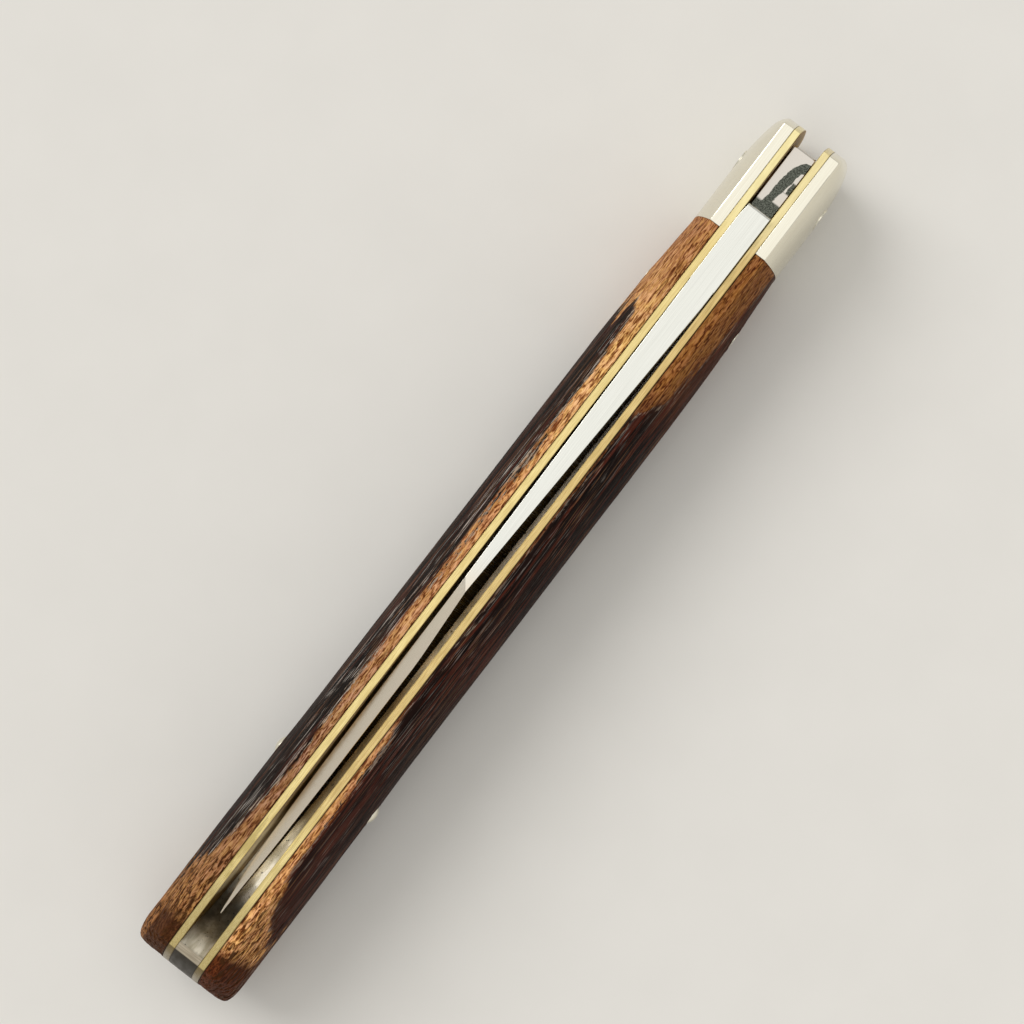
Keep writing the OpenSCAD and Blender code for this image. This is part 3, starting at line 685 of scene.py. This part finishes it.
def open_grain(piece):
    """Cuts the wood's surface fine, then sinks its pores and fibres into it.
    The depth of the wide pores is kept on the mesh for the wood's colour."""
    select_only(piece)
    bpy.ops.mesh.customdata_custom_splitnormals_clear()
    boxes = [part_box(pin) for pin in RIVETED]
    bores = [((low + high) / 2, (high.x - low.x) / 2) for low, high in boxes]

    def in_bore(place, rim):
        away = [(math.hypot(place.x - bore.x, place.z - bore.z), radius) for bore, radius in bores]
        return any(distance < radius + rim for distance, radius in away)

    bpy.ops.object.mode_set(mode="EDIT")
    bpy.ops.mesh.select_all(action="DESELECT")
    bpy.ops.mesh.select_mode(type="FACE")
    bpy.ops.object.mode_set(mode="OBJECT")
    for face in piece.data.polygons:
        outside = abs(face.center.y) > LINER_OUT + 0.01 * MM
        face.select = outside and not in_bore(face.center, 0)
    bpy.ops.object.mode_set(mode="EDIT")
    bpy.ops.mesh.subdivide(number_cuts=GRAIN_CUTS)
    bpy.ops.object.mode_set(mode="OBJECT")

    pores = piece.data.attributes.new("pores", "FLOAT", "POINT")
    sunk = []
    for i, vertex in enumerate(piece.data.vertices):
        place = vertex.co / MM
        deep = PORE_LEFT + (1 - PORE_LEFT) * smooth_step(-place.x, DEEP_FROM, DEEP_TO)
        wide = smooth_step(marks(place, PORE), 0.12, 0.34) * deep
        # The surface stays plain along the liner, at the bolster and round the rivets
        free = smooth_step(abs(place.y) - LINER_OUT / MM, 0.08, 0.2)
        free *= smooth_step(JOINT_X / MM - place.x, 0.1, 0.3)
        if in_bore(vertex.co, RIVET_RIM):
            free = 0.0
        pores.data[i].value = wide * free
        depth = PORE_DEPTH * wide + FIBRE_DEPTH * (1 + marks(place, FIBRE))
        depth += HOLLOW_DEPTH * (1 + marks(place, HOLLOW))
        sunk.append(vertex.co - vertex.normal * depth * free * MM)
    for vertex, place in zip(piece.data.vertices, sunk):
        vertex.co = place
    bpy.ops.object.shade_smooth_by_angle(angle=math.radians(GRAIN_TURN))


def make_knife():
    faces = ground_steel(
        "blade_steel_faces_satin",
        line_sizes=(0.14, 6, 9), tones=("#9c9c98", "#c6c6c2"), roughness=(0.2, 0.3), honed=0.9,
    )
    spine = ground_steel(
        "blade_steel_spine_satin",
        line_sizes=(8, 0.07, 0.07), tones=("#dcdcd4", "#e9e9e1"), roughness=(0.14, 0.22),
        clip_film=1.0,
    )
    steels = [faces, spine, tang_steel()]
    finished(
        "blade", "blade", steels, 0.04 * MM,
        pick=blade_face, too_fine=blade_too_fine, crisp=blade_crisp,
    )
    finished("backspring", "handle", [spring_steel()], 0.05 * MM)

    brasses = [filed_brass(), dull_brass()]
    nickel = polished_nickel_silver()
    bronze = washer_bronze()
    for side, wood in (("left", LEFT_WOOD), ("right", RIGHT_WOOD)):
        rosewood = scale_wood("rosewood_" + side + "_oiled", wood)
        finished("liner_" + side, "handle", brasses, 0.05 * MM, pick=liner_face)
        finished("bolster_" + side, "handle", [nickel], 0.1 * MM)
        open_grain(finished("scale_" + side, "handle", [rosewood], 0.1 * MM))
        finished("scale_rivet_rear_" + side, "handle", [nickel], 0.03 * MM)
        finished("scale_rivet_front_" + side, "handle", [nickel], 0.02 * MM)
        finished("bolster_pins_" + side, "handle", [nickel], 0.02 * MM)
        finished("washer_" + side, "handle", [bronze], 0.02 * MM)
    for pin in ("pivot_pin", "spring_pin_middle", "spring_pin_rear"):
        finished(pin, "handle", [nickel], 0.02 * MM)


def make_floor():
    bpy.ops.object.select_all(action="DESELECT")
    bpy.ops.mesh.primitive_plane_add(size=FLOOR_SIZE, location=(0, 0, 0))
    floor = bpy.context.object
    floor.name = "floor"
    floor.data.materials.append(floor_paper())


def add_softbox(name, place, aim, size, brightness):
    """A rectangular soft lamp that points from its place to its aim; a white card has brightness 1."""
    turn = (Vector(place) - Vector(aim)).to_track_quat("Z", "Y")
    bpy.ops.object.light_add(type="AREA", location=place, rotation=turn.to_euler())
    lamp = bpy.context.object
    lamp.name = name
    lamp.data.shape = "RECTANGLE"
    lamp.data.size, lamp.data.size_y = size
    lamp.data.energy = brightness * math.pi * size[0] * size[1]
    lamp.visible_camera = False


def make_light():
    room = bpy.data.worlds.new("studio")
    room.use_nodes = True
    background = room.node_tree.nodes["Background"]
    plug(background.inputs["Color"], ROOM_COLOUR)
    plug(background.inputs["Strength"], ROOM_STRENGTH)
    bpy.context.scene.world = room
    # The box overhead is what the flat metal mirrors; it ends before the blade's clip can see it
    add_softbox("overhead", **OVERHEAD)
    add_softbox("clip", **ABOVE_CLIP)
    # A wide far lamp lights the side evenly, so that the floor stays one tone
    turn = SIDE_PLACE.to_track_quat("Z", "Y")
    bpy.ops.object.light_add(type="SUN", location=SIDE_PLACE, rotation=turn.to_euler())
    bpy.context.object.name = "side"
    bpy.context.object.data.energy = SIDE_STRENGTH
    bpy.context.object.data.angle = SIDE_WIDTH


def make_camera():
    turn = Matrix.Rotation(VIEW_TILT, 3, "X") @ Matrix.Rotation(-VIEW_ROLL, 3, "Z")
    place = VIEW_AIM + turn @ Vector((0, 0, VIEW_DISTANCE))
    bpy.ops.object.camera_add(location=place, rotation=turn.to_euler())
    camera = bpy.context.object
    camera.data.sensor_width = SENSOR
    camera.data.lens = SENSOR * PIXELS_PER_MM * (VIEW_DISTANCE / MM) / PICTURE_WIDTH
    camera.data.clip_start = VIEW_NEAREST
    camera.data.clip_end = VIEW_FARTHEST
    bpy.context.scene.camera = camera


make_knife()
make_floor()
make_light()
make_camera()
bpy.context.scene.view_settings.view_transform = "Standard"
